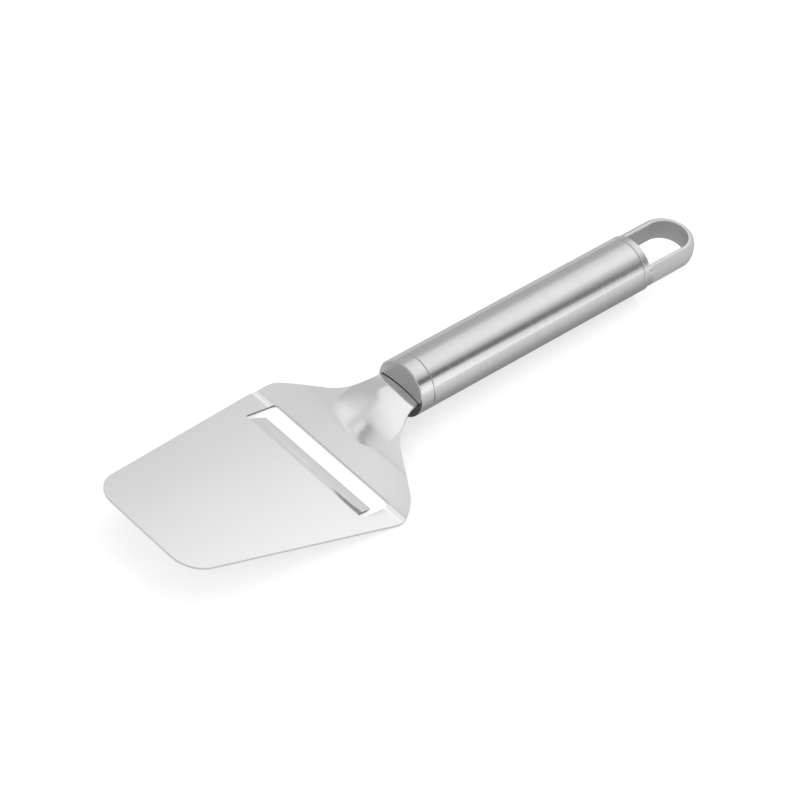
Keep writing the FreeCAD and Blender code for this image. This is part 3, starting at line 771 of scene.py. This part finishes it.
@dataclass(frozen=True)
class TopDiffuser:
    """Large diffuser overhead, bright over the handle, with a shaded valley over the blade's nose.

    A span named along runs with X and one named across runs with Y.
    """

    span_x: Span = (-1.2, 2.0)
    span_y: Span = (-0.50, 1.2)
    height: float = 0.60
    low_level: float = 0.645

    # over the handle: a bright lamp with a brighter crown, which fade to the low level
    handle_along: Span = (0.22, 0.34)
    lamp_level: float = 1.25
    lamp_slant: float = 0.26
    lamp_edge: Span = (0.49, 0.31)
    crown_level: float = 1.54
    crown_across: Span = (0.40, 0.05)
    crown_along: Span = (0.20, 0.50)
    low_rise: float = 0.146
    low_along: Span = (0.25, 0.60)
    near_across: Span = (-0.52, -0.12)

    # the valley's edge: two slanting lines, and one straight line that cuts both off
    tip_slant: float = 0.20
    tip_start: float = 0.22
    neck_slant: float = 0.635
    neck_start: float = 0.415
    far_start: float = 0.43
    edge_fade: Span = (-0.01, 0.02)

    # in the valley: shade over the nose, which gives way to a lamp over the neck
    shade_level: float = 0.33
    shade_rise: float = 0.53
    shade_fade: Span = (0.03, -0.155)
    neck_level: float = 1.18
    neck_drop: float = 0.12
    neck_across: Span = (0.10, 0.40)
    neck_along: Span = (-0.225, -0.13)

    # beyond the valley: a fill over the plate, lower at its tip and along one slanting band
    fill_rise: float = 0.40
    fill_along: Span = (-0.09, -0.21)
    fill_loss: float = 0.6
    fill_across: Span = (0.54, 0.68)
    tip_drop: float = 0.20
    tip_along: Span = (-0.50, -0.62)
    tip_fade: Span = (0.22, 0.03)
    band_drop: float = 0.28
    band_slant: float = 0.30
    band_rise: Span = (0.237, 0.277)
    band_fall: Span = (0.332, 0.312)
    band_along: Span = (-0.62, -0.50)

    def over_handle(self, along: Value, across: Value) -> Value:
        """Level over the handle.

        Args:
            along: place along X.
            across: place along Y.

        Returns:
            The level.
        """
        low = self.low_level + self.low_rise * along.ramp(*self.low_along)
        bright = (across - self.lamp_slant * along).ramp(*self.lamp_edge)
        crown = across.ramp(*self.crown_across) * along.ramp(*self.crown_along)
        lit = bright.between(low, self.lamp_level) + (self.crown_level - self.lamp_level) * crown
        return across.ramp(*self.near_across).between(low, lit)

    def beyond(self, along: Value, across: Value) -> Value:
        """How far a place lies beyond the valley's edge.

        Args:
            along: place along X.
            across: place along Y.

        Returns:
            The distance, below zero inside the valley.
        """
        tip_side = across + self.tip_slant * along - self.tip_start
        neck_side = across - self.neck_slant * along - self.neck_start
        return tip_side.smaller(neck_side).larger(across - self.far_start)

    def in_valley(self, along: Value, across: Value, beyond: Value) -> Value:
        """Level in the valley.

        Args:
            along: place along X.
            across: place along Y.
            beyond: distance beyond the valley's edge.

        Returns:
            The level.
        """
        shade = self.shade_level + self.shade_rise * beyond.ramp(*self.shade_fade)
        lamp = self.neck_level - self.neck_drop * across.ramp(*self.neck_across)
        return along.ramp(*self.neck_along).between(shade, lamp)

    def over_plate(self, along: Value, across: Value, beyond: Value) -> Value:
        """Level beyond the valley.

        Args:
            along: place along X.
            across: place along Y.
            beyond: distance beyond the valley's edge.

        Returns:
            The level.
        """
        ahead = along.ramp(*self.fill_along)
        fill = self.fill_rise * ahead * (1.0 - self.fill_loss * across.ramp(*self.fill_across))
        tip = self.tip_drop * along.ramp(*self.tip_along) * beyond.ramp(*self.tip_fade)
        tilted = across + self.band_slant * along
        band = tilted.ramp(*self.band_rise) * tilted.ramp(*self.band_fall)
        return self.low_level + fill - tip - self.band_drop * ahead * band * along.ramp(*self.band_along)

    def build(self) -> bpy.types.Object:
        """Make the diffuser.

        Returns:
            The diffuser.
        """
        material, graph = new_material("top_diffuser")
        along, across = graph.plan()
        beyond = self.beyond(along, across)
        valley = self.in_valley(along, across, beyond)
        plate = self.over_plate(along, across, beyond)
        blade = beyond.ramp(*self.edge_fade).between(valley, plate)
        handle = self.over_handle(along, across)
        graph.close(graph.emission(along.ramp(*self.handle_along).between(blade, handle)))
        near_y, far_y = self.span_y
        corners = strip(self.span_x, (near_y, self.height), (far_y, self.height))
        return flat_prop("top_diffuser", [corners], material, Seen.LIGHT)


@dataclass(frozen=True)
class SideDiffuser:
    """Upright diffuser at the near side with an apron on the floor, for the handle's bright band."""

    level: float = 1.90
    rear_level: float = 1.22
    rear_along: Span = (0.30, 0.48)
    apron_level: float = 1.05
    apron_across: Span = (-0.07, -0.21)
    upright_x: Span = (0.22, 1.1)
    apron_x: Span = (0.05, 1.1)
    top_edge: Span = (-0.52, 0.32)
    foot_edge: Span = (-0.52, 0.05)
    front_edge: Span = (-0.07, 0.001)

    def build(self) -> bpy.types.Object:
        """Make the diffuser.

        Returns:
            The diffuser.
        """
        material, graph = new_material("side_diffuser")
        along, across = graph.plan()
        upper = along.ramp(*self.rear_along).between(self.level, self.rear_level)
        graph.close(graph.emission(across.ramp(*self.apron_across).between(self.apron_level, upper)))
        upright = strip(self.upright_x, self.top_edge, self.foot_edge)
        apron = strip(self.apron_x, self.foot_edge, self.front_edge)
        return flat_prop("side_diffuser", [upright, apron], material, Seen.LIGHT)


@dataclass(frozen=True)
class DarkCard:
    """Dark card between the two diffusers, which draws the dark streak along the handle."""

    dark_level: float = 0.14
    pale_level: float = 0.48
    pale_along: Span = (0.48, 0.62)
    near_y: float = -0.50
    outline: tuple[Span, ...] = ((0.134, 0.561), (0.542, 0.122), (0.72, 0.14), (0.48, 0.96))

    def build(self) -> bpy.types.Object:
        """Make the card.

        Returns:
            The card.
        """
        material, graph = new_material("dark_card")
        along, _ = graph.plan()
        graph.close(graph.emission(along.ramp(*self.pale_along).between(self.dark_level, self.pale_level)))
        corners = [Vector((x, self.near_y, z)) for x, z in self.outline]
        return flat_prop("dark_card", [corners], material, Seen.REFLECTIONS)


@dataclass(frozen=True)
class PaintedFloorShadow:
    """Painted shadow on the floor under the neck and the handle: a graded card seen only in reflections,
    which darkens their undersides.
    """

    neck_level: float = 0.08
    handle_level: float = 0.55
    handle_along: Span = (-0.016, -0.008)
    near_rise: float = 0.47
    near_across: Span = (-0.008, -0.036)
    far_rise: float = 0.30
    far_across: Span = (-0.0095, -0.004)
    span_x: Span = (-0.034, 0.135)
    near_edge: Span = (-0.052, 0.0005)
    far_edge: Span = (0.010, 0.0005)

    def build(self) -> bpy.types.Object:
        """Make the card.

        Returns:
            The card.
        """
        material, graph = new_material("painted_floor_shadow")
        along, across = graph.plan()
        handle = self.handle_level + self.near_rise * across.ramp(*self.near_across)
        handle = handle + self.far_rise * across.ramp(*self.far_across)
        # painted shadow: darkest under the neck, lighter under the handle and towards its near side
        graph.close(graph.emission(along.ramp(*self.handle_along).between(self.neck_level, handle)))
        corners = strip(self.span_x, self.near_edge, self.far_edge)
        return flat_prop("painted_floor_shadow", [corners], material, Seen.REFLECTIONS)


@dataclass(frozen=True)
class Viewpoint:
    """Camera at the photograph's viewing angle."""

    eye: Triple = (-0.69479, -0.59677, 0.90977)
    right: Triple = (0.731222, -0.673401, 0.108839)
    forward: Triple = (0.534469, 0.466444, -0.704821)
    lens: float = 180.847
    sensor: float = 36.0

    def build(self) -> bpy.types.Object:
        """Make the camera and look through it.

        Returns:
            The camera.
        """
        data = bpy.data.cameras.new("camera")
        data.lens = self.lens
        data.sensor_width = self.sensor
        camera = bpy.data.objects.new("camera", data)
        right = Vector(self.right).normalized()
        back = -Vector(self.forward).normalized()
        up = back.cross(right).normalized()
        turn = Matrix((right, up, back)).transposed().to_4x4()
        camera.matrix_world = Matrix.Translation(Vector(self.eye)) @ turn
        bpy.context.scene.collection.objects.link(camera)
        bpy.context.scene.camera = camera
        return camera


def main() -> None:
    """Build the scene."""
    logging.basicConfig(level=logging.INFO, format="%(message)s")
    bpy.context.scene.view_settings.view_transform = "Standard"
    for assembly in (Blade(), Handle(), HangLoop()):
        for piece in assembly.build():
            finishes = ", ".join(slot.material.name for slot in piece.material_slots)
            LOG.info("%s dressed with %s", piece.name, finishes)
    studio = (Surroundings(), Floor(), TopDiffuser(), SideDiffuser(), DarkCard(), PaintedFloorShadow(), Viewpoint())
    for prop in studio:
        LOG.info("%s in place", prop.build().name)


if __name__ == "__main__":
    main()
